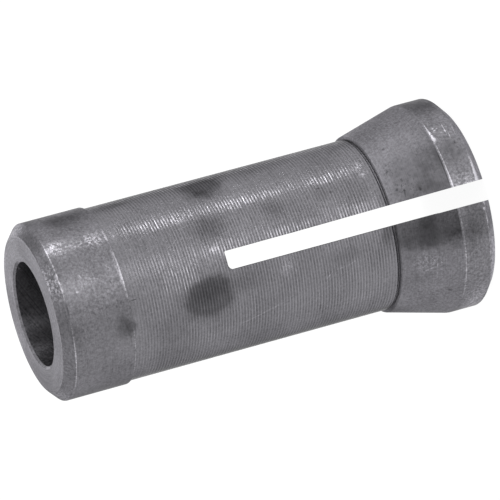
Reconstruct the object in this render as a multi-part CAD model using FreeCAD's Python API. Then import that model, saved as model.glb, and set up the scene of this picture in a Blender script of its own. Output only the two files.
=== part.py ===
"""Router collet: one turned steel sleeve with a taper head and one saw cut that makes it two jaws.

It stands on its wide head. The origin is the centre of the head face, +Z runs along the bore towards
the tail, and the saw cut runs through from -Y to +Y. Lengths are in millimetres.
"""
import FreeCAD, Part
import math
import os

from FreeCAD import Vector

# The sleeve
overall_length = 54.4        # head face to tail face
bore_diameter = 12.7         # for a half-inch cutter shank
body_diameter = 21.0
tail_mouth_chamfer = 0.27    # small break at the tail end of the bore
head_mouth_chamfer = 0.5     # lead-in where the shank enters

# The collar at the tail, which centres the sleeve in the spindle
collar_length = 8.7          # from the tail face to the step down to the body
collar_step = 0.28           # how far the collar stands out from the body, on the radius
tail_chamfer_length = 1.12
tail_chamfer_depth = 1.26

# The head: a slow taper, a short cylindrical land and the chamfer that the nut presses on
head_chamfer_length = 1.1
head_chamfer_depth = 1.28
land_length = 3.35
cone_length = 7.35
cone_half_angle = 15.0       # degrees
cone_step = 0.39             # how far the taper's small end stands out from the body, on the radius

# The undercut between the taper and the body
groove_width = 0.28
groove_depth = 0.35          # below the body, on the radius
groove_edge_break = 0.1      # on the body's side only

# Corners
corner_break = 0.1           # small flat on each outer corner of the collar and of the head
cone_land_radius = 2.0       # soft corner between the taper and the land

# The saw cut, measured on the outside of the body
slot_length = 32.92          # from the head face to its closed end
slot_root_width = 2.33
slot_head_width = 2.57       # wider, because the jaws were sprung apart and set
slot_flare_height = 24.0     # the +X jaw leans outwards from here to the head face
slot_offset = 0.16           # the cut lies this far off the axis at its closed end, towards +X
saw_diameter = 63.0
sharp_tooth_corner = 0.22    # the saw's teeth had worn more on their -X side
worn_tooth_corner = 0.65

# Heights and radii that follow
bore_radius = bore_diameter / 2
body_radius = body_diameter / 2
collar_radius = body_radius + collar_step
cone_small_radius = body_radius + cone_step
land_radius = cone_small_radius + cone_length * math.tan(math.radians(cone_half_angle))
groove_floor_radius = body_radius - groove_depth
land_bottom = head_chamfer_length
land_top = land_bottom + land_length
cone_top = land_top + cone_length
groove_top = cone_top + groove_width
collar_bottom = overall_length - collar_length
tail_chamfer_bottom = overall_length - tail_chamfer_length
tail_face_radius = collar_radius - tail_chamfer_depth
head_face_radius = land_radius - head_chamfer_depth
saw_radius = saw_diameter / 2
saw_height = slot_length - math.sqrt(saw_radius ** 2 - body_radius ** 2)
slot_low_side = slot_offset - slot_root_width / 2
slot_high_side = slot_offset + slot_root_width / 2
past_head = body_radius      # how far the cut's tools run on below the head face
touching = 0.001             # places nearer than this are the same


def at(radius, height):
    """A place in the sleeve's section, which lies in the XZ plane."""
    return Vector(radius, 0, height)


def broken(before, corner, after):
    """The two ends of the small flat that breaks a corner between its neighbours."""
    return [corner + (neighbour - corner).normalize() * corner_break for neighbour in (before, after)]


def soft_corner(land_end, cone_end):
    """The arc that eases the corner from the land into the taper."""
    half_turn = math.radians(cone_half_angle / 2)
    reach = cone_land_radius * math.tan(half_turn)
    start = land_end - Vector(0, 0, reach)
    centre = start - Vector(cone_land_radius, 0, 0)
    middle = centre + Vector(math.cos(half_turn), 0, math.sin(half_turn)) * cone_land_radius
    finish = land_end + (cone_end - land_end).normalize() * reach
    return start, middle, finish


def turned_sleeve():
    """The sleeve as it leaves the lathe: its section turned once round the bore's axis."""
    head_mouth = at(bore_radius + head_mouth_chamfer, 0)
    head_rim = at(head_face_radius, 0)
    land_start = at(land_radius, land_bottom)
    land_end = at(land_radius, land_top)
    cone_end = at(cone_small_radius, cone_top)
    collar_back = at(collar_radius, collar_bottom)
    body_end = at(body_radius, collar_bottom)
    collar_front = at(collar_radius, tail_chamfer_bottom)
    tail_rim = at(tail_face_radius, overall_length)
    tail_mouth = at(bore_radius + tail_mouth_chamfer, overall_length)
    bore_top = at(bore_radius, overall_length - tail_mouth_chamfer)
    bore_bottom = at(bore_radius, head_mouth_chamfer)

    soft_start, soft_middle, soft_finish = soft_corner(land_end, cone_end)
    head_side = [bore_bottom, head_mouth,
                 *broken(head_mouth, head_rim, land_start),
                 *broken(head_rim, land_start, land_end),
                 soft_start]
    tail_side = [soft_finish, cone_end,
                 at(groove_floor_radius, cone_top),
                 at(groove_floor_radius, groove_top),
                 at(body_radius - groove_edge_break, groove_top),
                 at(body_radius, groove_top + groove_edge_break),
                 body_end,
                 *broken(body_end, collar_back, collar_front),
                 *broken(collar_back, collar_front, tail_rim),
                 *broken(collar_front, tail_rim, tail_mouth),
                 tail_mouth, bore_top, bore_bottom]
    outline = Part.Wire([*Part.makePolygon(head_side).Edges,
                         Part.Arc(soft_start, soft_middle, soft_finish).toShape(),
                         *Part.makePolygon(tail_side).Edges])
    return Part.Face(outline).revolve(Vector(0, 0, 0), Vector(0, 0, 1), 360)


def saw_disc():
    """The slitting saw at the end of its travel, with the rounded tooth corners that the cut's end shows."""
    disc = Part.makeCylinder(saw_radius, slot_root_width, Vector(slot_low_side, 0, saw_height), Vector(1, 0, 0))
    for side, tooth_corner in ((slot_low_side, worn_tooth_corner), (slot_high_side, sharp_tooth_corner)):
        rim = [edge for edge in disc.Edges
               if edge.BoundBox.XLength < touching and abs(edge.CenterOfMass.x - side) < touching]
        disc = disc.makeFillet(tooth_corner, rim)
    return disc


def saw_run():
    """The straight path that the saw leaves from the end of its travel to past the head."""
    corner = Vector(slot_low_side, -saw_radius, -past_head)
    return Part.makeBox(slot_root_width, saw_diameter, saw_height + past_head, corner)


def flare():
    """The wedge by which the +X jaw stands open towards the head."""
    spread = (slot_head_width - slot_root_width) * (slot_flare_height + past_head) / slot_flare_height
    tip = Vector(slot_high_side, -saw_radius, slot_flare_height)
    wedge = Part.makePolygon([tip,
                              Vector(slot_high_side, -saw_radius, -past_head),
                              Vector(slot_high_side + spread, -saw_radius, -past_head),
                              tip])
    return Part.Face(wedge).extrude(Vector(0, saw_diameter, 0))


os.makedirs("parts", exist_ok=True)
collet = turned_sleeve().cut([saw_disc(), saw_run(), flare()]).removeSplitter()
collet.exportStep("parts/collet.step")
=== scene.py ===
"""Router collet: the turned, slotted steel sleeve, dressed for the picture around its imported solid.

The sleeve stands on its head. +Z runs along the bore to the tail, the camera looks along +Y, and the
saw cut runs through from -Y to +Y. Sizes in the classes are in millimetres, and meshes are in metres.
"""
import logging
import math
import random
from dataclasses import dataclass, field
from enum import Enum

import bmesh
import bpy
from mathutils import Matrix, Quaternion, Vector


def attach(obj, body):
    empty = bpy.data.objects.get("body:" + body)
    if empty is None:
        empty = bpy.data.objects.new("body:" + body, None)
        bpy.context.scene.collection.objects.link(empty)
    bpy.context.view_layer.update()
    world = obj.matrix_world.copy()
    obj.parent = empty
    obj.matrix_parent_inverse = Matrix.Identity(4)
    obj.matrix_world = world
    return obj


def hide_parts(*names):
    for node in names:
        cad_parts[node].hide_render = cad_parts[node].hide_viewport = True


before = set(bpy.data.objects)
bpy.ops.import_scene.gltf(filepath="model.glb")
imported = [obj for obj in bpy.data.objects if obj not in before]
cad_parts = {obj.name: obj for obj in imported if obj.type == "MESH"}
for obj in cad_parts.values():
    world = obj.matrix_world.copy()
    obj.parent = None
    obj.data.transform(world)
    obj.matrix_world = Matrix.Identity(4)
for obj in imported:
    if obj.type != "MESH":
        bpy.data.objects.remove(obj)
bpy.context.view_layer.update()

log = logging.getLogger("router_collet")

MM = 0.001
TOUCHING = 1e-7              # metres: places nearer than this are the same
NODE = "collet"
BODY = "root"


def linear(hex_colour: str) -> tuple[float, float, float, float]:
    """Turns an sRGB hex colour into the linear colour that a shader takes.

    Args:
        hex_colour: six hex digits after a number sign.

    Returns:
        Red, green, blue and an alpha of 1.
    """
    channels = [int(hex_colour[i : i + 2], 16) / 255 for i in (1, 3, 5)]
    red, green, blue = [c / 12.92 if c <= 0.04045 else ((c + 0.055) / 1.055) ** 2.4 for c in channels]
    return red, green, blue, 1.0


def add(tree: bpy.types.NodeTree, kind: str, inputs: dict | None = None,
        **settings: object) -> bpy.types.Node:
    """Adds one node to a tree.

    Args:
        tree: the node tree that gets the node.
        kind: the node's type.
        inputs: for each input, by name or number, a value, or the node or socket that it is linked from.
        settings: the node's own properties.

    Returns:
        The new node.
    """
    made = tree.nodes.new(kind)
    for name, value in settings.items():
        setattr(made, name, value)
    for socket, value in (inputs or {}).items():
        if isinstance(value, bpy.types.Node):
            value = value.outputs[0]
        if isinstance(value, bpy.types.NodeSocket):
            tree.links.new(value, made.inputs[socket])
        else:
            made.inputs[socket].default_value = value
    return made


class Surface(Enum):
    """How each part of the sleeve was made, in the order of its material slots."""

    BODY = 0
    COLLAR = 1
    LAND = 2
    TAPER = 3
    TAIL_CHAMFER = 4
    HEAD_CHAMFER = 5
    FACE = 6
    BORE = 7
    GROOVE = 8
    SAW_CUT = 9


class Lay(Enum):
    """Which way a tool's fine grooves run."""

    ROUND_OUTSIDE = "round the axis, one above another"
    ROUND_FACE = "round the axis, one inside another"
    SAW_ARC = "in arcs about the saw's last centre"
    HELIX = "in a steep helix, where shanks were twisted in"


@dataclass(frozen=True)
class FeedRidges:
    """The scallops of a round-nosed turning tool, one to each turn of the work."""

    pitch: float = 0.371
    depth: float = 0.024
    bottom: float = 13.42        # height of the lowest crest
    count: int = 86
    fade: float = 42.6           # from here up to the collar they grow shallow
    faded: float = 0.25          # what is left of their depth at the top
    rise: tuple[float, ...] = (0.64, 0.96, 0.96, 0.64)   # a scallop's depth at points between two crests
    drift: float = 0.03          # how far a crest lies from its place, in pitches
    depths: tuple[float, float] = (0.6, 1.25)            # the shallowest and deepest scallop
    worn: float = 0.2            # how low the most worn crest is, in depths
    seed: int = 11

    @property
    def top(self) -> float:
        """Height of the last regular crest."""
        return self.bottom + self.count * self.pitch

    def outline(self, radius: float) -> list[tuple[float, float]]:
        """Lists the ridged outline from the head end to the tail end.

        Args:
            radius: the crests' radius.

        Returns:
            Pairs of radius and height.
        """
        draw = random.Random(self.seed)
        crests = [self.bottom + n * self.pitch for n in range(self.count + 1)]
        points = []
        for low, high in zip(crests, crests[1:]):
            low += draw.uniform(-self.drift, self.drift) * self.pitch
            depth = self.depth * draw.uniform(*self.depths) * self.strength(low)
            points.append((radius - draw.uniform(0.0, self.worn) * self.depth, low))
            for step, part in enumerate(self.rise, 1):
                points.append((radius - depth * part, low + (high - low) * step / (len(self.rise) + 1)))
        points.append((radius, crests[-1]))
        return points

    def strength(self, height: float) -> float:
        """Tells how deep the scallops are at a height, where 1 is the whole depth."""
        return min(1.0, 1.0 - (1.0 - self.faded) * (height - self.fade) / (self.top - self.fade))


@dataclass(frozen=True)
class SawCut:
    """The slitting saw's cut through both walls, with the +X jaw sprung open."""

    root_width: float = 2.33     # at the closed end
    head_width: float = 2.57     # at the head, where the jaw stands open
    flare_height: float = 24.0   # from here down the jaw leans outwards
    offset: float = 0.16         # how far the cut lies off the axis
    saw_radius: float = 31.5
    saw_height: float = 3.222    # of the saw's middle at the end of its travel
    sharp_corner: float = 0.22   # the saw's teeth had worn more on one side
    worn_corner: float = 0.65
    run_out: float = 10.5        # how far the cutter goes on below the head
    arc_steps: int = 120

    def cutter(self) -> bpy.types.Object:
        """Makes the solid that the saw sweeps out.

        Returns:
            An object with the cutter's mesh, not linked to a scene.
        """
        low_side = (self.offset - self.root_width / 2) * MM
        high_side = (self.offset + self.root_width / 2) * MM
        bm = bmesh.new()
        start = bm.verts.new((low_side, -self.saw_radius * MM, self.saw_height * MM))
        bmesh.ops.spin(bm, geom=[start], cent=(low_side, 0, self.saw_height * MM), axis=(-1, 0, 0),
                       angle=math.pi, steps=self.arc_steps, dvec=(0, 0, 0))
        bm.verts.ensure_lookup_table()
        ends = [v for v in bm.verts if len(v.link_edges) == 1]
        below = [bm.verts.new((low_side, v.co.y, -self.run_out * MM)) for v in ends]
        for end, foot in zip(ends, below):
            bm.edges.new((end, foot))
        bm.edges.new(below)
        bmesh.ops.edgenet_fill(bm, edges=bm.edges[:])
        side = bmesh.ops.extrude_face_region(bm, geom=bm.faces[:])
        moved = [v for v in side["geom"] if isinstance(v, bmesh.types.BMVert)]
        bmesh.ops.translate(bm, verts=moved, vec=(high_side - low_side, 0, 0))
        for place, corner in ((low_side, self.worn_corner), (high_side, self.sharp_corner)):
            rim = [e for e in bm.edges if all(
                abs(v.co.x - place) < TOUCHING and v.co.z > self.saw_height * MM - TOUCHING
                for v in e.verts)]
            bmesh.ops.bevel(bm, geom=rim, offset=corner * MM, offset_type="OFFSET", segments=4,
                            profile=0.5, affect="EDGES", material=-1)
        flare_top = self.flare_height * MM
        bmesh.ops.bisect_plane(bm, geom=bm.verts[:] + bm.edges[:] + bm.faces[:], dist=TOUCHING,
                               plane_co=(0, 0, flare_top), plane_no=(0, 0, 1))
        slope = (self.head_width - self.root_width) / self.flare_height
        for vert in bm.verts:
            if vert.co.x > (low_side + high_side) / 2 and vert.co.z < flare_top:
                vert.co.x += (flare_top - vert.co.z) * slope
        bmesh.ops.recalc_face_normals(bm, faces=bm.faces[:])
        for face in bm.faces:
            face.material_index = Surface.SAW_CUT.value
        mesh = bpy.data.meshes.new("saw_cut")
        bm.to_mesh(mesh)
        bm.free()
        return bpy.data.objects.new("saw_cut", mesh)


class Kind(Enum):
    """What a mark is."""

    STAIN = "oil and oxide, thickest between the ridges"
    MOTTLE = "oxide in fine flecks"
    # Specks painted bright: painted glints where the highlights fall, and rubbed spots
    RUB = "specks rubbed bright"
    PIT = "small rust pits, now dark"
    # Ridge crests painted bright, as painted highlight dashes
    WORN = "ridges whose crests are worn bright"
    # Lines and spots: real nicks and scratches, and also painted highlights and painted shade
    LINE = "one clean-edged line or spot, dark or bright"
    # Turns down the ridges' painted highlight and shade where the light leaves them faint
    QUIET = "ridges that hardly stand out"


@dataclass(frozen=True)
class Mark:
    """A place on the sleeve's unrolled outside where its look changes, as an ellipse."""

    kind: Kind
    height: float          # of its middle above the head face
    angle: float           # degrees round from -Y towards -X
    half_height: float
    half_width: float
    depth: float           # how strong it is; a bright line is below 0
    turn: float = 0.0      # degrees that it leans
    edge: float = 0.8      # the part of it over which it fades out


# On all of the outside
MARKS = (
    # Stains: the large one beside the slot, the fainter ones round it, and those on the collar and head
    Mark(Kind.STAIN, 35.9, 19, 3.8, 3.2, 0.44, -16, 0.4),
    Mark(Kind.STAIN, 35.6, 14.5, 2.5, 2.2, 0.14),
    Mark(Kind.STAIN, 35.0, 16, 5.0, 4.2, 0.1),
    Mark(Kind.STAIN, 34.9, 36, 3.8, 2.4, 0.16),
    Mark(Kind.STAIN, 31.0, 16, 4.0, 2.0, 0.16),
    Mark(Kind.STAIN, 41.0, 47, 5.5, 6.5, 0.2),
    Mark(Kind.STAIN, 30.0, 52, 7.0, 5.0, 0.12),
    Mark(Kind.STAIN, 39.0, 21, 3.6, 2.6, 0.14),
    Mark(Kind.STAIN, 31.9, -63, 3.6, 3.2, 0.54, edge=0.6),
    Mark(Kind.STAIN, 43.0, -71, 3.0, 1.6, 0.35),
    Mark(Kind.STAIN, 30.0, -74, 3.0, 1.4, 0.3),
    Mark(Kind.STAIN, 33.0, -53, 2.2, 1.6, 0.22),
    Mark(Kind.STAIN, 33.9, -25, 3.0, 2.4, 0.34),
    Mark(Kind.STAIN, 19.2, -28.5, 1.6, 1.4, 0.2),
    Mark(Kind.STAIN, 25.4, -26, 2.2, 1.8, 0.25),
    Mark(Kind.STAIN, 18.5, 16, 2.6, 1.6, 0.2),
    Mark(Kind.STAIN, 12.9, 8.5, 1.3, 2.4, 0.4),
    Mark(Kind.STAIN, 46.9, 22.5, 1.6, 2.1, 0.42),
    Mark(Kind.STAIN, 46.1, 25, 0.8, 1.4, 0.2),
    Mark(Kind.STAIN, 50.0, 20, 4.6, 5.0, 0.09),
    Mark(Kind.STAIN, 52.7, 20, 1.3, 2.2, 0.25),
    Mark(Kind.STAIN, 49.3, -66, 3.4, 2.6, 0.4),
    Mark(Kind.STAIN, 53.9, -55, 1.3, 3.2, 0.34),
    Mark(Kind.STAIN, 53.9, 8, 1.4, 3.2, 0.16),
    Mark(Kind.STAIN, 2.6, 13.5, 3.2, 3.4, 0.4),
    Mark(Kind.STAIN, 2.8, -23, 2.6, 3.8, 0.14),
    Mark(Kind.STAIN, 3.6, 21, 2.2, 2.2, 0.2),
    Mark(Kind.STAIN, 3.4, -45, 1.8, 2.8, 0.12),
    Mark(Kind.STAIN, 3.4, -12, 1.5, 1.4, 0.12),
    Mark(Kind.STAIN, 1.6, -64, 1.4, 1.8, 0.18),
    Mark(Kind.STAIN, 3.2, -66, 2.4, 2.8, 0.35),
    # Oxide on the ground surfaces
    Mark(Kind.MOTTLE, 2.6, -27, 1.6, 2.2, 0.4),
    Mark(Kind.MOTTLE, 47.5, 20, 3.5, 4.0, 0.2),
    Mark(Kind.MOTTLE, 53.9, 17, 1.6, 3.4, 0.2),
    Mark(Kind.MOTTLE, 49.5, 48, 5.0, 5.0, 0.16),
    # Specks painted bright: painted glints in the lit bands, and places that hands and the nut have
    # rubbed
    Mark(Kind.RUB, 52.3, -39, 1.6, 1.5, 1.2),
    Mark(Kind.RUB, 47.5, -38, 2.0, 1.6, 1.2),
    Mark(Kind.RUB, 49.8, -38, 3.4, 1.1, 0.5),
    Mark(Kind.RUB, 50.0, -11, 2.0, 1.8, 0.22),
    Mark(Kind.RUB, 53.8, -17, 1.1, 3.2, 0.9),
    Mark(Kind.RUB, 2.6, -7.5, 2.2, 1.7, 0.8),
    Mark(Kind.RUB, 13.4, -37.5, 1.2, 1.3, 1.2),
    Mark(Kind.RUB, 34.3, -9, 0.7, 0.8, 0.9),
    Mark(Kind.RUB, 36.2, -38, 2.4, 1.1, 0.6),
    Mark(Kind.RUB, 25.9, 13, 1.3, 1.6, 0.4),
    # Ridge crests painted bright, as painted highlight dashes: the two rows of bright crests, the patch
    # beside the large stain and the upper edge
    Mark(Kind.WORN, 16.5, -10.5, 3.5, 1.2, 0.22, edge=0.6),
    Mark(Kind.WORN, 24.5, -9.5, 4.0, 0.9, 0.4, edge=0.6),
    Mark(Kind.WORN, 33.0, -10, 4.0, 1.3, 0.24, edge=0.6),
    Mark(Kind.WORN, 38.8, 3, 3.4, 2.2, 0.34, -10),
    Mark(Kind.WORN, 39.5, -38, 4.4, 0.9, 0.6, edge=0.6),
    Mark(Kind.WORN, 28.0, -38, 7.0, 0.9, 0.6, edge=0.6),
    Mark(Kind.WORN, 17.6, -38, 3.8, 0.9, 0.6, edge=0.6),
    Mark(Kind.WORN, 29.0, -77, 18.0, 1.5, 0.35, edge=0.6),
    # Broad, soft painted light and shade: painted highlights along the upper rim, on the collar and on
    # the land, and painted shade along the lower rim, on the lower side and next to two corners
    Mark(Kind.LINE, 48.4, 4, 3.4, 3.2, -0.12, edge=1.0),
    Mark(Kind.LINE, 47.0, -14, 1.8, 5.0, -0.16, edge=1.0),
    Mark(Kind.LINE, 47.1, -38.5, 1.5, 1.5, -0.6, edge=1.0),
    Mark(Kind.LINE, 45.98, -13, 0.34, 3.8, -1.1, edge=1.0),
    Mark(Kind.LINE, 49.5, -80, 5.0, 2.8, -0.45, edge=1.0),
    Mark(Kind.LINE, 44.0, -80, 4.0, 2.8, -0.5, edge=1.0),
    Mark(Kind.LINE, 16.0, -80, 9.0, 2.8, -0.4, edge=1.0),
    Mark(Kind.LINE, 52.9, -36, 0.5, 7.0, 0.2, edge=1.0),
    Mark(Kind.LINE, 4.8, -26, 0.5, 4.4, 0.22, edge=1.0),
    Mark(Kind.LINE, 2.2, 76, 2.6, 5.0, -1.1, edge=1.0),
    Mark(Kind.LINE, 29.0, 82, 22.0, 2.4, 0.42, edge=1.0),
    Mark(Kind.LINE, 13.0, 80, 5.0, 2.2, 0.3, edge=1.0),
    Mark(Kind.LINE, 24.0, 28, 22.0, 6.0, 0.06, edge=0.6),
    # Nicks and scratches, and painted light and shade along the corners: bright lines on the lit corners
    # and rims, and darker lines beside some of them
    Mark(Kind.LINE, 2.03, -31, 0.18, 0.24, 0.6),
    Mark(Kind.LINE, 19.3, -32, 0.4, 0.2, 0.5),
    Mark(Kind.LINE, 18.0, -27, 0.4, 0.25, 0.4),
    Mark(Kind.LINE, 45.1, 7.6, 0.55, 0.09, 0.7),
    Mark(Kind.LINE, 49.76, 49, 0.13, 0.13, 0.5),
    Mark(Kind.LINE, 30.0, 41.8, 3.6, 0.12, -0.45, -14),
    Mark(Kind.LINE, 27.6, 38, 2.4, 0.09, -0.3, -12),
    Mark(Kind.LINE, 20.8, 26.3, 0.75, 0.1, -0.5, -40),
    Mark(Kind.LINE, 19.4, 23.6, 0.95, 0.09, -0.4, -4),
    Mark(Kind.LINE, 17.7, 21.9, 0.9, 0.09, -0.4, -18),
    Mark(Kind.LINE, 44.85, -37.6, 0.12, 0.4, -1.1),
    Mark(Kind.LINE, 43.2, -41, 0.12, 0.4, -0.9),
    Mark(Kind.LINE, 47.05, -16.4, 0.45, 0.09, -0.8, 49),
    Mark(Kind.LINE, 50.6, -15.5, 0.4, 0.09, -0.7, 66),
    Mark(Kind.LINE, 49.0, -12, 0.5, 0.09, -0.7, 20),
    Mark(Kind.LINE, 51.5, -6.3, 0.24, 0.18, -1.2),
    Mark(Kind.LINE, 50.5, 38, 0.34, 0.09, -0.6),
    Mark(Kind.LINE, 45.84, -38.5, 0.22, 1.4, -1.6),
    Mark(Kind.LINE, 45.8, -12, 0.16, 4.6, -1.4),
    Mark(Kind.LINE, 45.78, 42, 0.13, 4.8, -0.6),
    Mark(Kind.LINE, 53.22, -30, 0.1, 5.6, -0.9),
    Mark(Kind.LINE, 53.2, 2, 0.16, 1.4, 0.5),
    Mark(Kind.LINE, 53.2, 36, 0.1, 6.2, -1.3),
    Mark(Kind.LINE, 54.25, -20, 0.16, 2.6, -0.8),
    Mark(Kind.LINE, 53.9, -88, 1.3, 3.6, -0.8),
    Mark(Kind.LINE, 53.9, 87, 1.3, 3.6, -0.6),
    Mark(Kind.LINE, 4.34, -43.5, 0.1, 1.4, -1.8),
    Mark(Kind.LINE, 4.28, -39, 0.19, 1.0, -2.2),
    Mark(Kind.LINE, 4.22, -36.2, 0.3, 0.5, -2.4),
    Mark(Kind.LINE, 4.34, -23, 0.09, 2.6, -1.2),
    Mark(Kind.LINE, 4.3, -9.5, 0.13, 1.6, -2.0),
    Mark(Kind.LINE, 4.62, -19, 0.14, 3.0, 0.4),
    Mark(Kind.LINE, 4.34, 33, 0.09, 6.6, -0.75, edge=0.6),
    Mark(Kind.LINE, 3.7, -43.4, 0.22, 0.08, -1.4),
    Mark(Kind.LINE, 3.55, -42.0, 0.36, 0.08, -1.4, -8),
    Mark(Kind.LINE, 3.72, -40.9, 0.2, 0.07, -0.8, 14),
    Mark(Kind.LINE, 3.2, -43, 0.14, 0.07, -0.8),
    Mark(Kind.LINE, 2.9, -39.5, 0.22, 0.07, -0.9, 12),
    Mark(Kind.LINE, 2.4, -41.5, 0.1, 1.1, -1.9, 4),
    Mark(Kind.LINE, 2.44, -40, 0.24, 0.1, -1.6, 25),
    Mark(Kind.LINE, 2.2, -36.5, 0.08, 0.7, -1.3, 6),
    Mark(Kind.LINE, 1.4, -39.5, 0.08, 1.0, -1.0, 5),
    Mark(Kind.LINE, 1.12, -14.5, 0.2, 1.9, -2.4),
    Mark(Kind.LINE, 1.14, -10.4, 0.3, 1.0, -3.0),
    Mark(Kind.LINE, 1.2, 8.4, 0.22, 0.2, -2.6),
    Mark(Kind.LINE, 1.1, 5.3, 0.16, 0.34, -1.8),
    Mark(Kind.LINE, 1.14, 13.7, 0.14, 1.2, -1.2),
    Mark(Kind.LINE, 1.15, 30, 0.12, 4.6, -0.6),
    Mark(Kind.LINE, 0.5, 43, 0.9, 5.4, -0.75),
    Mark(Kind.LINE, 0.5, -25, 0.9, 2.2, 0.14),
    Mark(Kind.LINE, 22.0, -7.4, 12.0, 0.2, 0.3),
    Mark(Kind.LINE, 33.0, -0.8, 0.2, 1.5, 0.4),
    # Where the ridges' painted highlight and shade is turned down, so that they hardly show: high and low
    # on the body, and next to the undercut and the collar
    Mark(Kind.QUIET, 29.0, -51.5, 27.0, 2.7, 0.65),
    Mark(Kind.QUIET, 29.0, 60, 27.0, 2.4, 0.4),
    Mark(Kind.QUIET, 41.6, -26, 4.2, 3.6, 0.55),
    Mark(Kind.QUIET, 41.0, 40, 3.4, 4.6, 0.4),
    Mark(Kind.QUIET, 12.7, -28, 3.2, 3.6, 0.55),
    Mark(Kind.QUIET, 12.6, 42, 2.2, 3.4, 0.55),
)

# Only on the taper: its dark stain beside the slot, flecks, pits and fine scratches
TAPER_MARKS = (
    Mark(Kind.STAIN, 8.4, 10.5, 6.8, 2.8, 0.43, edge=0.35),
    Mark(Kind.STAIN, 6.4, 10, 3.0, 2.6, 0.16),
    Mark(Kind.STAIN, 5.8, 16.5, 1.6, 1.2, 0.1),
    Mark(Kind.STAIN, 8.5, 15, 1.9, 2.0, 0.18),
    Mark(Kind.STAIN, 5.2, 21.5, 1.5, 1.4, 0.22),
    Mark(Kind.STAIN, 8.2, 6.5, 1.6, 1.2, 0.14),
    Mark(Kind.STAIN, 9.2, -20.5, 2.6, 2.2, 0.12),
    Mark(Kind.STAIN, 5.0, -42, 1.6, 5.0, 0.13),
    Mark(Kind.STAIN, 5.4, -19, 3.6, 3.6, 0.22, edge=0.6),
    Mark(Kind.STAIN, 7.2, -9, 5.0, 2.0, 0.26),
    Mark(Kind.STAIN, 8.0, -34, 5.0, 4.0, 0.1),
    Mark(Kind.MOTTLE, 8.0, -17, 5.0, 5.0, 0.32),
    Mark(Kind.MOTTLE, 9.0, 20, 4.0, 4.0, 0.25),
    Mark(Kind.RUB, 8.8, 31, 2.4, 1.8, 0.4),
    Mark(Kind.PIT, 10.4, -29, 1.6, 1.4, 0.5),
    Mark(Kind.PIT, 9.4, -14, 2.4, 2.4, 0.5),
    Mark(Kind.LINE, 9.89, -44.6, 0.26, 0.24, 0.6),
    Mark(Kind.LINE, 10.57, -32.8, 0.2, 0.2, 0.35),
    Mark(Kind.LINE, 10.48, -15.6, 0.24, 0.2, 0.45),
    Mark(Kind.LINE, 7.96, -11.6, 0.25, 0.38, 0.65),
    Mark(Kind.LINE, 9.75, -12.3, 0.12, 0.66, 0.45, 10),
    Mark(Kind.LINE, 6.1, 54.5, 0.45, 0.24, 0.5, 30),
    Mark(Kind.LINE, 8.6, 37.1, 1.1, 0.12, -0.45, -24),
    Mark(Kind.LINE, 7.7, 35, 0.1, 2.1, -0.3),
    Mark(Kind.LINE, 7.2, 38, 0.1, 1.8, -0.4),
    Mark(Kind.LINE, 8.3, 30, 1.6, 0.08, -0.4, 50),
)

# Only in the undercut: painted shade in it near the outline at -82 degrees, and a darker stretch round 22
# degrees on its lower half
GROOVE_MARKS = (
    Mark(Kind.LINE, 11.95, -82, 2.0, 3.6, 0.6, edge=1.0),
    Mark(Kind.LINE, 12.0, 22, 0.16, 10.5, 0.4, edge=0.3),
)

# Only on the tail face: where it is duller or brighter
FACE_MARKS = (
    Mark(Kind.LINE, 54.4, -20, 2.0, 7.0, 0.09, edge=1.0),
    Mark(Kind.LINE, 54.4, 110, 2.0, 9.0, 0.2, edge=1.0),
    Mark(Kind.LINE, 54.4, -120, 2.0, 10.0, -0.22, edge=1.0),
)

# Only in the bore's mouth: painted light where light from the table reaches it
BORE_MARKS = (
    Mark(Kind.LINE, 52.0, 118, 7.0, 7.5, -0.8, edge=1.0),
    Mark(Kind.LINE, 53.6, 104, 2.6, 4.4, -0.6, edge=1.0),
    Mark(Kind.LINE, 53.7, -112, 1.8, 3.6, -0.6, edge=1.0),
    Mark(Kind.RUB, 54.1, -122, 0.5, 2.0, 2.0),
)


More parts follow.
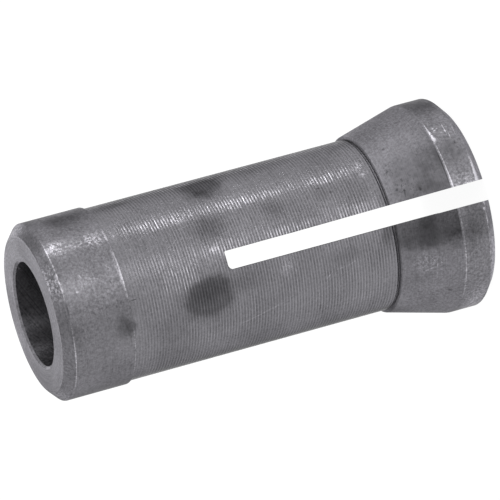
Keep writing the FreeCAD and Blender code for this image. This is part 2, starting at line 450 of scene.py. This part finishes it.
@dataclass(frozen=True)
class Steel:
    """Tool steel, dulled and oil-stained by use.

    It is a grey metal whose silky shine lies across the grooves that the tool left.
    """

    name: str
    lay: Lay
    bare_and_lit: str = "#d3d1d8"       # bare metal, rubbed bright, and the paleness that painted highlights reach
    stained_and_shaded: str = "#1b1b1c"     # oil and oxide dried into the grooves, and the darkness that painted shade reaches
    tone: float = 0.3            # how clean it is on the whole
    edge_tint: str = "#b0b0b0"   # what a dull surface keeps of the bright rim at a glancing angle
    roughness: float = 0.42
    anisotropy: float = 0.6      # how far the shine is drawn out across the grooves
    cloud: float = 0.06          # wide, soft changes of tone
    streak: float = 0.05         # fine lines along the grooves
    grain: float = 0.17          # mottling
    dents: float = 0.012         # how deep the mottling is, in millimetres
    waver: float = 1.2           # how much more the ridges' crests waver than the mottling
    ridges: FeedRidges | None = None
    ridge_contrast: float = 0.64                 # how much paler a crest is than the metal between: partly dirt in the hollows, partly painted highlight and shade of the ridges
    reach: tuple[float, float] = (0.0, 54.4)     # heights between which it is used
    marks: tuple[Mark, ...] = ()

    CLOUD_PER_MM = 0.22
    GRAIN_PER_MM = 3.4           # as coarse as a pixel of the picture needs; the real grain is finer
    STREAKS_PER_MM = 7.0         # across the grooves
    STREAK_CHANGE_PER_MM = 0.3   # along them
    STREAK_RELIEF = 0.3          # their height, where the mottling's is 1
    SCORES_PER_MM = 3.0          # the lines down the bore
    SCORE_CHANGE_PER_MM = 0.2
    TWIST_PER_MM = 0.3           # radians that they turn
    ROUGHNESS_CHANGE = 0.2       # how much of the mottling shows in the roughness
    GROOVES_TURN = 0.25          # of a turn, which lays the shine across grooves that run round the axis
    NOISE_SPREAD = 0.1           # standard deviation of the noise nodes' output

    CREST_SHARPNESS = 2.0        # the power that narrows the crests
    CREST_MEAN = 0.375           # what that leaves on average
    CREST_CHANGE_PER_MM = 1.1    # how soon a crest looks different along its way round
    CREST_STEP = 3.7             # how far apart two neighbours' noise is, so that each differs
    CREST_STRENGTHS = (0.1, 1.5)               # where one is faintest, and where it stands out most

    WANDER_PER_MM = 0.6          # how soon a stain's outline bends
    WANDER = 2.2                 # how far it may bend, in millimetres
    CLUSTERS_PER_MM = 0.9        # groups of bright specks: painted glints and rubbed spots
    CLUSTERING = 0.3
    SPARKS_PER_MM = 3.4          # the specks, as coarse as the mottling and for the same reason
    FLECKS_PER_MM = 1.7
    PITS_PER_MM = 3.2
    STAIN_STRENGTHS = (1.02, 0.9)              # between the ridges and on a crest
    DARKEST = 0.92               # the most that the marks of one kind take away

    def material(self) -> bpy.types.Material:
        """Makes the shader.

        Returns:
            The material, named for this steel.
        """
        made = bpy.data.materials.new(self.name)
        made.use_nodes = True
        tree = made.node_tree
        tree.nodes.clear()
        place = add(tree, "ShaderNodeTexCoord").outputs["Object"]
        mm = add(tree, "ShaderNodeVectorMath", {0: place, "Scale": 1 / MM}, operation="SCALE")
        axes = add(tree, "ShaderNodeSeparateXYZ", {0: mm})
        cloud = add(tree, "ShaderNodeTexNoise", {"Vector": mm, "Scale": self.CLOUD_PER_MM, "Detail": 3.0})
        grain = add(tree, "ShaderNodeTexNoise", {
            "Vector": mm, "Scale": self.GRAIN_PER_MM, "Detail": 3.0, "Roughness": 0.7})
        streak = add(tree, "ShaderNodeTexNoise", {
            "Vector": self.grooves(tree, mm, axes), "Scale": 1.0, "Detail": 2.0})
        change = 1.0
        for pattern, spread in ((cloud, self.cloud), (grain, self.grain), (streak, self.streak)):
            gain = spread / self.NOISE_SPREAD
            part = add(tree, "ShaderNodeMath", {0: pattern, 1: gain, 2: -gain / 2},
                       operation="MULTIPLY_ADD")
            change = add(tree, "ShaderNodeMath", {0: change, 1: part}, operation="ADD")
        height = add(tree, "ShaderNodeMath", {0: streak, 1: self.STREAK_RELIEF, 2: grain},
                     operation="MULTIPLY_ADD")
        ridged = None
        if self.ridges is not None:
            crest, uneven = self.crests(tree, mm, axes)
            # Crests painted paler and the metal between them darker: partly dirt in the hollows, partly
            # painted highlight and shade of the ridges
            proud = add(tree, "ShaderNodeMath", {0: crest, 1: self.CREST_MEAN}, operation="SUBTRACT")
            drawn = add(tree, "ShaderNodeMath", {0: proud, 1: uneven}, operation="MULTIPLY")
            change = add(tree, "ShaderNodeMath", {0: drawn, 1: self.ridge_contrast, 2: change},
                         operation="MULTIPLY_ADD")
            height = add(tree, "ShaderNodeMath", {0: uneven, 1: self.waver, 2: height},
                         operation="MULTIPLY_ADD")
            ridged = crest, uneven, drawn
        tone = add(tree, "ShaderNodeMath", {0: change, 1: self.tone}, operation="MULTIPLY")
        if self.marks:
            tone = self.marked(tree, mm, axes, tone, ridged)
        colour = add(tree, "ShaderNodeMix", {0: tone, 6: linear(self.stained_and_shaded), 7: linear(self.bare_and_lit)},
                     data_type="RGBA")
        rough = add(tree, "ShaderNodeMath", {
            0: grain, 1: self.ROUGHNESS_CHANGE, 2: self.roughness - self.ROUGHNESS_CHANGE / 2},
            operation="MULTIPLY_ADD")
        bump = add(tree, "ShaderNodeBump", {
            "Height": height, "Strength": 1.0, "Distance": self.dents * MM})
        tangent = add(tree, "ShaderNodeTangent", direction_type="RADIAL", axis="Z")
        shader = add(tree, "ShaderNodeBsdfPrincipled", {
            "Base Color": colour.outputs[2], "Metallic": 1.0, "Roughness": rough,
            "Specular Tint": linear(self.edge_tint), "Anisotropic": self.anisotropy,
            "Anisotropic Rotation": self.GROOVES_TURN, "Tangent": tangent, "Normal": bump})
        add(tree, "ShaderNodeOutputMaterial", {"Surface": shader})
        return made

    def grooves(self, tree: bpy.types.NodeTree, mm: bpy.types.Node,
                axes: bpy.types.Node) -> bpy.types.Node:
        """Stretches a place along the tool's grooves, so that noise there comes out as fine lines.

        Args:
            tree: the material's nodes.
            mm: the place in millimetres.
            axes: the same place, split into its axes.

        Returns:
            The node that gives the stretched place.
        """
        if self.lay is Lay.HELIX:
            twist = add(tree, "ShaderNodeMath", {0: axes.outputs["Z"], 1: self.TWIST_PER_MM},
                        operation="MULTIPLY")
            turned = add(tree, "ShaderNodeVectorRotate", {"Vector": mm, "Angle": twist},
                         rotation_type="Z_AXIS")
            return add(tree, "ShaderNodeVectorMath", {
                0: turned, 1: (self.SCORES_PER_MM, self.SCORES_PER_MM, self.SCORE_CHANGE_PER_MM)},
                operation="MULTIPLY")
        keep, centre = {
            Lay.ROUND_OUTSIDE: ((0, 0, 1), (0, 0, 0)),
            Lay.ROUND_FACE: ((1, 1, 0), (0, 0, 0)),
            Lay.SAW_ARC: ((0, 1, 1), (0, 0, SawCut().saw_height)),
        }[self.lay]
        moved = add(tree, "ShaderNodeVectorMath", {0: mm, 1: centre}, operation="SUBTRACT")
        flat = add(tree, "ShaderNodeVectorMath", {0: moved, 1: keep}, operation="MULTIPLY")
        across = add(tree, "ShaderNodeVectorMath", {0: flat}, operation="LENGTH").outputs["Value"]
        fast = add(tree, "ShaderNodeMath", {0: across, 1: self.STREAKS_PER_MM}, operation="MULTIPLY")
        spread = add(tree, "ShaderNodeCombineXYZ", {"X": fast, "Y": fast, "Z": fast})
        return add(tree, "ShaderNodeVectorMath", {0: mm, 1: (self.STREAK_CHANGE_PER_MM,) * 3, 2: spread},
                   operation="MULTIPLY_ADD")

    def crests(self, tree: bpy.types.NodeTree, mm: bpy.types.Node,
               axes: bpy.types.Node) -> tuple[bpy.types.Node, bpy.types.Node]:
        """Finds the crests of the feed ridges, and how much each stands out along its way round.

        Args:
            tree: the material's nodes.
            mm: the place in millimetres.
            axes: the same place, split into its axes.

        Returns:
            The node that is 1 on a crest and 0 between two, and the node for the unevenness.
        """
        ridges = self.ridges
        turns = add(tree, "ShaderNodeMapRange", {0: axes.outputs["Z"], 1: ridges.bottom, 2: ridges.top,
                                                 3: 0.0, 4: float(ridges.count)}, clamp=False)
        wave = add(tree, "ShaderNodeMath", {0: turns, 1: math.tau}, operation="MULTIPLY")
        swell = add(tree, "ShaderNodeMath", {0: wave}, operation="COSINE")
        rise = add(tree, "ShaderNodeMath", {0: swell, 1: 0.5, 2: 0.5}, operation="MULTIPLY_ADD")
        crest = add(tree, "ShaderNodeMath", {0: rise, 1: self.CREST_SHARPNESS}, operation="POWER")
        nearest = add(tree, "ShaderNodeMath", {0: turns}, operation="ROUND")
        each = add(tree, "ShaderNodeMath", {0: nearest, 1: self.CREST_STEP}, operation="MULTIPLY")
        apart = add(tree, "ShaderNodeCombineXYZ", {"X": each, "Z": each})
        where = add(tree, "ShaderNodeVectorMath", {
            0: mm, 1: (self.CREST_CHANGE_PER_MM, self.CREST_CHANGE_PER_MM, 0.0), 2: apart},
            operation="MULTIPLY_ADD")
        noise = add(tree, "ShaderNodeTexNoise", {
            "Vector": where, "Scale": 1.0, "Detail": 4.0, "Roughness": 0.72})
        faint, strong = self.CREST_STRENGTHS
        strength = add(tree, "ShaderNodeMapRange", {0: noise, 1: 0.3, 2: 0.7, 3: faint, 4: strong})
        fading = add(tree, "ShaderNodeMapRange", {0: axes.outputs["Z"], 1: ridges.fade, 2: ridges.top,
                                                  3: 1.0, 4: ridges.faded})
        return crest, add(tree, "ShaderNodeMath", {0: strength, 1: fading}, operation="MULTIPLY")

    def marked(self, tree: bpy.types.NodeTree, mm: bpy.types.Node, axes: bpy.types.Node,
               tone: bpy.types.Node, ridged: tuple[bpy.types.Node, ...] | None) -> bpy.types.Node:
        """Lays the marks that reach this steel over its tone.

        Args:
            tree: the material's nodes.
            mm: the place in millimetres.
            axes: the same place, split into its axes.
            tone: how clean the metal is without them.
            ridged: where there are ridges, their crests, their unevenness and their share in the tone.

        Returns:
            The node that gives the tone with the marks.
        """
        low, high = self.reach
        near = [mark for mark in self.marks
                if low - mark.half_height < mark.height < high + mark.half_height
                and (ridged is not None or mark.kind not in (Kind.WORN, Kind.QUIET))]
        back = add(tree, "ShaderNodeVectorMath", {0: mm, "Scale": -1.0}, operation="SCALE")
        turned = add(tree, "ShaderNodeSeparateXYZ", {0: back})
        angle = add(tree, "ShaderNodeMath", {0: turned.outputs["X"], 1: turned.outputs["Y"]},
                    operation="ARCTAN2")
        arc = add(tree, "ShaderNodeMath", {0: angle, 1: Sleeve.body_radius}, operation="MULTIPLY")
        plain = add(tree, "ShaderNodeCombineXYZ", {"X": arc, "Y": axes.outputs["Z"]})
        wander = add(tree, "ShaderNodeTexNoise", {
            "Vector": mm, "Scale": self.WANDER_PER_MM, "Detail": 4.0, "Roughness": 0.6})
        shift = add(tree, "ShaderNodeVectorMath", {0: wander.outputs["Color"], 1: (0.5, 0.5, 0.5)},
                    operation="SUBTRACT")
        ragged = add(tree, "ShaderNodeVectorMath", {
            0: shift, 1: (self.WANDER, self.WANDER, 0.0), 2: plain}, operation="MULTIPLY_ADD")
        # Clustered specks, for the painted glints in the highlights and for the rubbed spots
        cluster = add(tree, "ShaderNodeTexNoise", {
            "Vector": mm, "Scale": self.CLUSTERS_PER_MM, "Detail": 1.0})
        sparks = add(tree, "ShaderNodeTexNoise", {
            "Vector": mm, "Scale": self.SPARKS_PER_MM, "Detail": 5.0, "Roughness": 0.85})
        glints_and_rubs = add(tree, "ShaderNodeMath", {0: cluster, 1: self.CLUSTERING, 2: sparks},
                     operation="MULTIPLY_ADD")
        flecks = add(tree, "ShaderNodeTexNoise", {
            "Vector": mm, "Scale": self.FLECKS_PER_MM, "Detail": 5.0, "Roughness": 0.75})
        holes = add(tree, "ShaderNodeTexNoise", {"Vector": mm, "Scale": self.PITS_PER_MM, "Detail": 3.0})
        # Where each pattern starts and where it is strongest, then its strength at both, which is below 0
        # where it makes the metal paler
        ranges = {
            Kind.MOTTLE: (flecks, 0.42, 0.62, 0.0, 1.0),
            Kind.RUB: (glints_and_rubs, 0.62, 0.84, 0.0, -1.9),
            Kind.PIT: (holes, 0.56, 0.66, 0.0, 1.0),
            Kind.LINE: (sparks, 0.38, 0.62, 0.35, 1.5),
        }
        patterns = {kind: add(tree, "ShaderNodeMapRange", dict(enumerate(values)))
                    for kind, values in ranges.items()}
        if ridged is not None:
            crest, uneven, drawn = ridged
            between, on_crest = self.STAIN_STRENGTHS
            # Painted highlight dashes on the crests, broken along their way round
            top = add(tree, "ShaderNodeMapRange", {0: crest, 1: 0.2, 2: 1.0, 3: 0.0, 4: -2.2})
            broken = add(tree, "ShaderNodeMapRange", {0: uneven, 1: 0.3, 2: 1.3, 3: 0.0, 4: 2.0})
            patterns[Kind.STAIN] = add(tree, "ShaderNodeMath", {
                0: crest, 1: on_crest - between, 2: between}, operation="MULTIPLY_ADD")
            patterns[Kind.WORN] = add(tree, "ShaderNodeMath", {0: top, 1: broken}, operation="MULTIPLY")
            # Takes back the ridges' painted highlight and shade
            patterns[Kind.QUIET] = add(tree, "ShaderNodeMath", {
                0: drawn, 1: self.ridge_contrast}, operation="MULTIPLY")
        for kind in Kind:
            total = None
            for mark in (each for each in near if each.kind is kind):
                local = add(tree, "ShaderNodeMapping", {
                    "Vector": plain if kind is Kind.LINE else ragged,
                    "Location": (math.radians(mark.angle) * Sleeve.body_radius, mark.height, 0),
                    "Rotation": (0, 0, math.radians(mark.turn)),
                    "Scale": (mark.half_width, mark.half_height, 1)}, vector_type="TEXTURE")
                out = add(tree, "ShaderNodeVectorMath", {0: local}, operation="LENGTH").outputs["Value"]
                part = add(tree, "ShaderNodeMapRange", {
                    0: out, 1: 1.0, 2: 1.0 - mark.edge, 3: 0.0, 4: mark.depth},
                    interpolation_type="SMOOTHSTEP")
                total = part if total is None else add(
                    tree, "ShaderNodeMath", {0: total, 1: part}, operation="ADD")
            if total is None:
                continue
            if kind in patterns:
                total = add(tree, "ShaderNodeMath", {0: total, 1: patterns[kind]}, operation="MULTIPLY")
            most = add(tree, "ShaderNodeMath", {0: total, 1: self.DARKEST}, operation="MINIMUM")
            kept = add(tree, "ShaderNodeMath", {0: 1.0, 1: most}, operation="SUBTRACT")
            tone = add(tree, "ShaderNodeMath", {0: tone, 1: kept}, operation="MULTIPLY")
        return tone


@dataclass
class Sleeve:
    """The turned sleeve, with its ridges, its eased corners and the saw cut.

    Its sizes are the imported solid's, with corners eased where the solid has small flats.
    """

    ridges: FeedRidges = field(default_factory=FeedRidges)
    cut: SawCut = field(default_factory=SawCut)
    length: float = 54.4
    bore_radius: float = 6.35
    body_radius: float = 10.5
    collar_radius: float = 10.78
    collar_bottom: float = 45.7
    tail_chamfer_bottom: float = 53.28
    tail_face_radius: float = 9.52
    tail_mouth_chamfer: float = 0.27
    head_mouth_chamfer: float = 0.5
    head_face_radius: float = 11.58
    land_radius: float = 12.859
    land_bottom: float = 1.1
    land_top: float = 4.45
    cone_small_radius: float = 10.89
    cone_top: float = 11.8
    groove_top: float = 12.08
    groove_radius: float = 10.15
    groove_edge_break: float = 0.1
    steps: int = 128
    sharp_angle: float = 32.0    # degrees: a sharper corner than this shows as an edge

    NEAR = 0.05                  # millimetres within which a face counts as on a surface
    FLAT = 0.9                   # the upward part of a normal, above which a face is an end of the sleeve

    def outline(self) -> list[tuple[float, float]]:
        """Lists the section's corners and ridges, from the bore's head end round the outside.

        Returns:
            Pairs of radius and height, without the closing one.
        """
        outside = [
            (self.bore_radius, self.head_mouth_chamfer),
            (self.bore_radius + self.head_mouth_chamfer, 0),
            (self.head_face_radius, 0),
            (self.land_radius, self.land_bottom),
            (self.land_radius, self.land_top),
            (self.cone_small_radius, self.cone_top),
            (self.body_radius, self.cone_top),
            (self.groove_radius, self.cone_top),
            (self.groove_radius, self.groove_top),
            (self.body_radius - self.groove_edge_break, self.groove_top),
            (self.body_radius, self.groove_top + self.groove_edge_break),
        ]
        tail = [
            (self.body_radius, self.collar_bottom),
            (self.collar_radius, self.collar_bottom),
            (self.collar_radius, self.tail_chamfer_bottom),
            (self.tail_face_radius, self.length),
            (self.bore_radius + self.tail_mouth_chamfer, self.length),
            (self.bore_radius, self.length - self.tail_mouth_chamfer),
        ]
        return outside + self.ridges.outline(self.body_radius) + tail

    def eased(self) -> list[tuple[float, float, float]]:
        """Lists the corners that are rounded over.

        Returns:
            Radius, height and how far the rounding reaches from the corner.
        """
        return [
            (self.head_face_radius, 0, 0.12),
            (self.land_radius, self.land_bottom, 0.12),
            (self.land_radius, self.land_top, 0.26),
            (self.cone_small_radius, self.cone_top, 0.07),
            (self.groove_radius, self.cone_top, 0.08),
            (self.groove_radius, self.groove_top, 0.08),
            (self.body_radius, self.groove_top + self.groove_edge_break, 0.06),
            (self.collar_radius, self.collar_bottom, 0.07),
            (self.collar_radius, self.tail_chamfer_bottom, 0.1),
            (self.tail_face_radius, self.length, 0.13),
            (self.bore_radius + self.tail_mouth_chamfer, self.length, 0.06),
        ]

    def build(self) -> bpy.types.Object:
        """Turns the section, eases its corners, cuts the slot and gives each surface its steel.

        Returns:
            The finished piece, linked to the scene.
        """
        bm = bmesh.new()
        ring = [bm.verts.new((radius * MM, 0, height * MM)) for radius, height in self.outline()]
        for first, second in zip(ring, ring[1:] + ring[:1]):
            bm.edges.new((first, second))
        bmesh.ops.spin(bm, geom=bm.verts[:] + bm.edges[:], cent=(0, 0, 0), axis=(0, 0, 1),
                       angle=math.tau, steps=self.steps, dvec=(0, 0, 0), use_merge=True)
        bmesh.ops.remove_doubles(bm, verts=bm.verts[:], dist=TOUCHING)
        for radius, height, reach in self.eased():
            hoop = [e for e in bm.edges if all(
                abs(v.co.z - height * MM) < TOUCHING and abs(v.co.xy.length - radius * MM) < TOUCHING
                for v in e.verts)]
            bmesh.ops.bevel(bm, geom=hoop, offset=reach * MM, offset_type="OFFSET", segments=3,
                            profile=0.5, affect="EDGES", material=-1, clamp_overlap=True)
        bmesh.ops.recalc_face_normals(bm, faces=bm.faces[:])
        for face in bm.faces:
            face.material_index = self.surface(face).value
        blank = bpy.data.meshes.new("collet_blank")
        bm.to_mesh(blank)
        bm.free()
        return self.slotted(blank, [steel.material() for steel in self.steels()])

    def slotted(self, blank: bpy.types.Mesh, steels: list[bpy.types.Material]) -> bpy.types.Object:
        """Cuts the slot.

        Args:
            blank: the turned sleeve's mesh.
            steels: the materials, in the order of the surfaces.

        Returns:
            The finished piece, linked to the scene.
        """
        work = bpy.data.objects.new("collet_work", blank)
        cutter = self.cut.cutter()
        for item in (work, cutter):
            bpy.context.scene.collection.objects.link(item)
            for steel in steels:
                item.data.materials.append(steel)
        slot = work.modifiers.new("slot", "BOOLEAN")
        slot.operation = "DIFFERENCE"
        slot.solver = "EXACT"
        slot.object = cutter
        cut = work.evaluated_get(bpy.context.evaluated_depsgraph_get())
        mesh = bpy.data.meshes.new_from_object(cut)
        mesh.name = "collet_skin"
        for item in (work, cutter):
            bpy.data.objects.remove(item)
        bm = bmesh.new()
        bm.from_mesh(mesh)
        bmesh.ops.remove_doubles(bm, verts=bm.verts[:], dist=2 * TOUCHING)
        for face in bm.faces:
            face.smooth = True
        bm.to_mesh(mesh)
        bm.free()
        mesh.set_sharp_from_angle(angle=math.radians(self.sharp_angle))
        piece = bpy.data.objects.new("collet_skin", mesh)
        bpy.context.scene.collection.objects.link(piece)
        return piece

    def surface(self, face: bmesh.types.BMFace) -> Surface:
        """Tells how a face of the turned sleeve was made.

        Args:
            face: a face of the mesh before the slot is cut.

        Returns:
            The kind of surface.
        """
        middle = face.calc_center_median() / MM
        radius = middle.xy.length
        if radius < self.bore_radius + self.NEAR:
            return Surface.BORE
        low, high = self.cone_top - self.NEAR, self.groove_top + self.NEAR
        if radius < self.body_radius and low < middle.z < high:
            return Surface.GROOVE
        if abs(face.normal.z) > self.FLAT and not self.land_top < middle.z < self.groove_top:
            return Surface.FACE
        for kind, top in ((Surface.HEAD_CHAMFER, self.land_bottom), (Surface.LAND, self.land_top),
                          (Surface.TAPER, self.groove_top), (Surface.BODY, self.collar_bottom),
                          (Surface.COLLAR, self.tail_chamfer_bottom)):
            if middle.z < top:
                return kind
        return Surface.TAIL_CHAMFER

    def steels(self) -> list[Steel]:
        """Lists the steels in the order of the surfaces."""
        finishes = {
            # Turned with a round-nosed tool: each feed ridge catches the light by itself, and its crest
            # is painted paler and its hollow darker, partly as painted highlight and shade, so that the
            # grey is drawn in fine pale and dark lines
            Surface.BODY: Steel(
                "turned_steel", Lay.ROUND_OUTSIDE, roughness=0.28, grain=0.12, ridges=self.ridges,
                reach=(self.groove_top, self.collar_bottom), marks=MARKS),
            # Ground to fit the spindle: no ridges, a broad soft shine and patches of oxide
            Surface.COLLAR: Steel(
                "ground_steel", Lay.ROUND_OUTSIDE, grain=0.2,
                reach=(self.collar_bottom, self.tail_chamfer_bottom), marks=MARKS),
            # Ground, then handled: a little paler than the collar, with long bright scratches
            Surface.LAND: Steel(
                "bright_ground_steel", Lay.ROUND_OUTSIDE, tone=0.32, grain=0.22,
                reach=(self.land_bottom, self.land_top), marks=MARKS),
            # Ground, then rubbed dull in the spindle: light spreads wide and leaves a pale, quiet grey
            Surface.TAPER: Steel(
                "rubbed_steel", Lay.ROUND_OUTSIDE, tone=0.385, roughness=0.68, anisotropy=0.5, grain=0.19,
                reach=(self.land_top, self.cone_top), marks=MARKS + TAPER_MARKS),
            # Turned at a slant and left so: matt, with little pull across its grooves
            Surface.TAIL_CHAMFER: Steel(
                "chamfered_steel", Lay.ROUND_OUTSIDE, roughness=0.56, anisotropy=0.3, grain=0.22,
                reach=(self.tail_chamfer_bottom, self.length), marks=MARKS),
            # Pressed by the nut again and again, and too dull to show a bright rim; its grey is painted
            # pale, as painted light against the shade of the table that it faces
            Surface.HEAD_CHAMFER: Steel(
                "pressed_steel", Lay.ROUND_OUTSIDE, tone=0.5, edge_tint="#707070", roughness=0.6,
                anisotropy=0.3, reach=(0.0, self.land_bottom), marks=MARKS),
            # Faced off: fine rings about the bore on a pale ground
            Surface.FACE: Steel(
                "faced_steel", Lay.ROUND_FACE, streak=0.1, tone=0.53, roughness=0.5,
                reach=(self.length, self.length), marks=FACE_MARKS),
            # Bored, and scored by the shanks, with fine slanting lines; its grey is painted dark, as
            # painted shade inside the bore
            Surface.BORE: Steel(
                "bored_steel", Lay.HELIX, tone=0.15, streak=0.15, grain=0.2, cloud=0.04,
                reach=(self.length, self.length), marks=BORE_MARKS),
            # Cut in with a narrow tool, and never rubbed: a dull line with hardly any shine
            Surface.GROOVE: Steel(
                "undercut_steel", Lay.ROUND_OUTSIDE, tone=0.33, roughness=0.6, anisotropy=0.2,
                reach=(self.cone_top, self.groove_top), marks=GROOVE_MARKS),
            # Slit with a fine saw: dark, with the teeth's arcs across the walls
            Surface.SAW_CUT: Steel(
                "sawn_steel", Lay.SAW_ARC, tone=0.25, streak=0.12, anisotropy=0.4),
        }
        return [finishes[kind] for kind in Surface]


@dataclass(frozen=True)
class SoftBox:
    """A soft lamp that faces the sleeve."""

    name: str
    side: float        # degrees round from the camera towards +X
    rise: float        # degrees above the floor
    distance: float
    width: float
    height: float
    level: float       # its brightness, where 1 is white

    def build(self, target: Vector) -> bpy.types.Object:
        """Hangs the lamp.

        Args:
            target: the place that it faces.

        Returns:
            The lamp.
        """
        lamp = bpy.data.lights.new(self.name, "AREA")
        lamp.shape = "RECTANGLE"
        lamp.size = self.width * MM
        lamp.size_y = self.height * MM
        lamp.energy = math.pi * lamp.size * lamp.size_y * self.level
        made = bpy.data.objects.new(self.name, lamp)
        bpy.context.scene.collection.objects.link(made)
        side, rise = math.radians(self.side), math.radians(self.rise)
        back = Vector((math.sin(side) * math.cos(rise), -math.cos(side) * math.cos(rise), math.sin(rise)))
        made.location = target + back * self.distance * MM
        made.rotation_euler = (-back).to_track_quat("-Z", "Y").to_euler()
        made.visible_camera = False
        return made


@dataclass(frozen=True)
class Laminate:
    """White table laminate: smooth and plain, an even white ground that shows only a soft shadow."""

    name: str = "white_laminate"
    sheet: str = "#e6e6e6"       # the sheet itself, from which light comes back to the steel
    shaded: str = "#5c5c5c"      # the share of the white ground that the shadow can take away
    glow: str = "#ffffff"
    glow_level: float = 0.95

    def material(self) -> bpy.types.Material:
        """Makes the shader, which the camera and reflections see as white.

        Returns:
            The material.
        """
        made = bpy.data.materials.new(self.name)
        made.use_nodes = True
        tree = made.node_tree
        tree.nodes.clear()
        path = add(tree, "ShaderNodeLightPath")
        lit = add(tree, "ShaderNodeBsdfDiffuse", {"Color": linear(self.sheet)})
        faint = add(tree, "ShaderNodeBsdfDiffuse", {"Color": linear(self.shaded)})
        glow = add(tree, "ShaderNodeEmission", {"Color": linear(self.glow), "Strength": self.glow_level})
        ground = add(tree, "ShaderNodeAddShader", {0: faint, 1: glow})
        seen = add(tree, "ShaderNodeMixShader", {0: path.outputs["Is Glossy Ray"], 1: lit, 2: ground})
        seen = add(tree, "ShaderNodeMixShader", {0: path.outputs["Is Camera Ray"], 1: seen, 2: ground})
        add(tree, "ShaderNodeOutputMaterial", {"Surface": seen})
        return made


@dataclass(frozen=True)
class Studio:
    """A plain white table and soft light.

    The strip draws the long highlight, the broad lamp lights what the camera sees, and the other two
    light the sleeve from behind.
    """

    floor_half: float = 2500.0
    floor: Laminate = Laminate()
    sky_colour: str = "#ffffff"
    sky_level: float = 0.9
    lamps: tuple[SoftBox, ...] = (
        SoftBox("strip_lamp", 77, 8, 700, 50, 600, 17.0),
        SoftBox("broad_lamp", 20, 20, 800, 260, 600, 3.2),
        SoftBox("rim_lamp", 161, 12, 900, 340, 500, 2.2),
        SoftBox("fill_lamp", -128, 12, 900, 500, 500, 0.6),
    )

    def build(self, target: Vector) -> None:
        """Lays the table and lights it.

        Args:
            target: the place that the lamps face.
        """
        bm = bmesh.new()
        bmesh.ops.create_grid(bm, x_segments=1, y_segments=1, size=self.floor_half * MM)
        mesh = bpy.data.meshes.new("table_top")
        bm.to_mesh(mesh)
        bm.free()
        mesh.materials.append(self.floor.material())
        table = bpy.data.objects.new("table_top", mesh)
        bpy.context.scene.collection.objects.link(table)
        for lamp in self.lamps:
            lamp.build(target)
        self.sky()

    def sky(self) -> None:
        """Sets the room's even light, which the camera sees as white."""
        world = bpy.data.worlds.new("white_room")
        world.use_nodes = True
        tree = world.node_tree
        tree.nodes.clear()
        path = add(tree, "ShaderNodeLightPath")
        level = add(tree, "ShaderNodeMapRange", {0: path.outputs["Is Camera Ray"], 1: 0.0, 2: 1.0,
                                                 3: self.sky_level, 4: 1.0})
        room = add(tree, "ShaderNodeBackground", {"Color": linear(self.sky_colour), "Strength": level})
        add(tree, "ShaderNodeOutputWorld", {"Surface": room})
        bpy.context.scene.world = world


@dataclass(frozen=True)
class PhotoCamera:
    """The camera at the photograph's viewing angle, turned so that the sleeve lies across the picture."""

    aim: tuple[float, float, float] = (0.657, 0.0, 26.546)
    elevation: float = 17.559    # degrees above the floor
    roll: float = 105.2          # degrees
    distance: float = 662.47
    lens: float = 401.36
    sensor: float = 36.0
    clip: tuple[float, float] = (0.01, 20.0)     # metres

    def build(self) -> bpy.types.Object:
        """Places the camera and makes it the scene's.

        Returns:
            The camera.
        """
        data = bpy.data.cameras.new("photo_camera")
        data.lens = self.lens
        data.sensor_width = self.sensor
        data.clip_start, data.clip_end = self.clip
        made = bpy.data.objects.new("photo_camera", data)
        bpy.context.scene.collection.objects.link(made)
        rise = math.radians(self.elevation)
        back = Vector((0, -math.cos(rise), math.sin(rise)))
        made.location = (Vector(self.aim) + back * self.distance) * MM
        made.rotation_mode = "QUATERNION"
        made.rotation_quaternion = (
            (-back).to_track_quat("-Z", "Y") @ Quaternion((0, 0, 1), -math.radians(self.roll)))
        bpy.context.scene.camera = made
        return made


def main() -> None:
    """Builds the camera, the studio and the sleeve, and notes the sizes."""
    logging.basicConfig(level=logging.INFO, format="%(name)s: %(message)s")
    scene = bpy.context.scene
    scene.view_settings.view_transform = "Standard"
    camera = PhotoCamera()
    camera.build()
    Studio().build(Vector(camera.aim) * MM)
    piece = Sleeve().build()
    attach(piece, BODY)
    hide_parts(NODE)
    piece.data.calc_loop_triangles()
    log.info("%s: %d triangles", piece.name, len(piece.data.loop_triangles))


if __name__ == "__main__":
    main()
